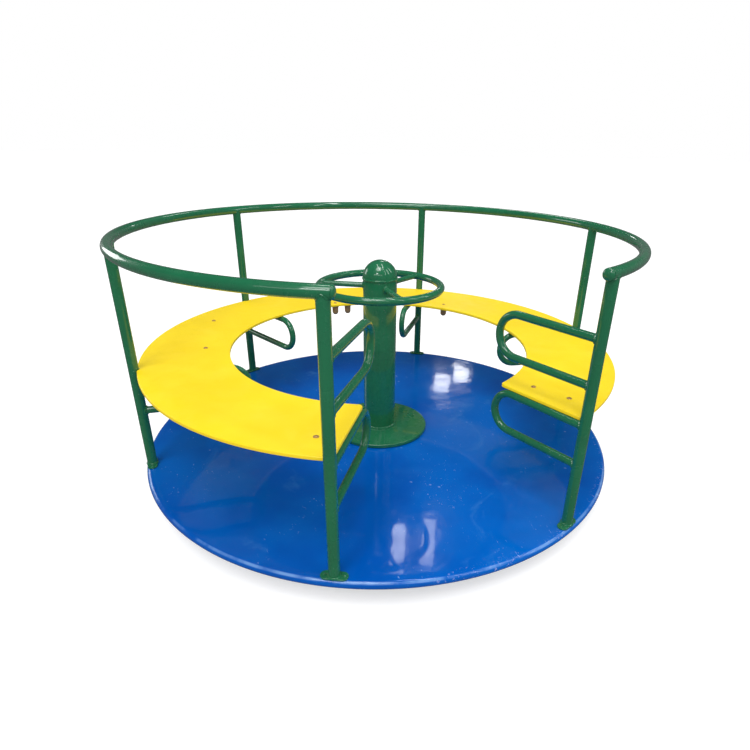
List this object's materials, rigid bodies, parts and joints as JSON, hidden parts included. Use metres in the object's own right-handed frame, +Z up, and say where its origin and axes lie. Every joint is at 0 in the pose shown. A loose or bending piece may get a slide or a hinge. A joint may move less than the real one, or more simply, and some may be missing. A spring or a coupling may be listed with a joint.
{
  "type": "playground merry-go-round",
  "caption": "Playground merry-go-round: a round platform that turns on a fixed spindle, with a tubular guard rail, a curved seat board, armrests and a hand wheel on a domed post.",
  "frame": {"origin": "on the turning axis at ground level, under the centre of the base plate", "axes": "+Z up along the turning axis; -Y towards the entrance between the two end uprights; +X to the right for someone walking in"},
  "size_m": [1.8, 1.8, 0.9049],
  "materials": {
    "frame_green": "gloss",
    "deck_blue": "high gloss",
    "seat_yellow": "satin",
    "underframe": "matt primer",
    "galvanised": "hot-dip galvanised",
    "machined_steel": "turned",
    "bearing_steel": "ground",
    "seal_rubber": "matt",
    "bolt_steel": "weathered plating"
  },
  "bodies": {
    "pedestal": {"base_plate": "galvanised", "spindle": "machined_steel", "lower_bearing_inner_race": "bearing_steel", "upper_bearing_inner_race": "bearing_steel", "bearing_spacer": "machined_steel", "post_lower_socket": "galvanised", "post_upper_socket": "galvanised", "spindle_washer": "galvanised", "spindle_nut": "galvanised", "centre_post": "frame_green", "post_cap": "frame_green", "hub_cover": "frame_green", "wheel_rim": "frame_green", "wheel_spoke_1": "frame_green", "wheel_spoke_2": "frame_green", "wheel_spoke_3": "frame_green"},
    "carousel": {"hub_housing": "underframe", "lower_bearing_outer_race": "bearing_steel", "upper_bearing_outer_race": "bearing_steel", "hub_seal": "seal_rubber", "deck_sheet": "deck_blue", "deck_rim": "deck_blue", "deck_arm_1": "underframe", "deck_arm_2": "underframe", "deck_arm_3": "underframe", "deck_arm_4": "underframe", "deck_arm_5": "underframe", "deck_arm_6": "underframe", "foot_plate_1": "frame_green", "foot_plate_2": "frame_green", "foot_plate_3": "frame_green", "foot_plate_4": "frame_green", "foot_plate_5": "frame_green", "foot_plate_6": "frame_green", "upright_1": "frame_green", "upright_2": "frame_green", "upright_3": "frame_green", "upright_4": "frame_green", "upright_5": "frame_green", "upright_6": "frame_green", "seat_bracket_1": "frame_green", "seat_bracket_2": "frame_green", "seat_bracket_3": "frame_green", "seat_bracket_4": "frame_green", "seat_bracket_5": "frame_green", "seat_bracket_6": "frame_green", "armrest_1": "frame_green", "armrest_6": "frame_green", "top_rail": "frame_green", "rail_end_cap_1": "frame_green", "rail_end_cap_6": "frame_green", "seat": "seat_yellow", "seat_bolt_1": "bolt_steel", "seat_bolt_2": "bolt_steel", "seat_bolt_3": "bolt_steel", "seat_bolt_4": "bolt_steel", "seat_bolt_5": "bolt_steel", "seat_bolt_6": "bolt_steel"},
    "lower_cage": {"lower_bearing_cage": "bearing_steel"},
    "upper_cage": {"upper_bearing_cage": "bearing_steel"}
  },
  "joints": [
    {"name": "deck_spin", "type": "hinge", "parent": "pedestal", "child": "carousel", "pos_m": [0, 0, 0.1], "axis": [0, 0, 1], "continuous": true},
    {"name": "lower_cage_spin", "type": "hinge", "parent": "pedestal", "child": "lower_cage", "pos_m": [0, 0, 0.049], "axis": [0, 0, 1], "continuous": true},
    {"name": "upper_cage_spin", "type": "hinge", "parent": "pedestal", "child": "upper_cage", "pos_m": [0, 0, 0.095], "axis": [0, 0, 1], "continuous": true}
  ],
  "couplings": [
    {"joint": "lower_cage_spin", "follows": "deck_spin", "ratio": 0.5843},
    {"joint": "upper_cage_spin", "follows": "deck_spin", "ratio": 0.5843}
  ]
}
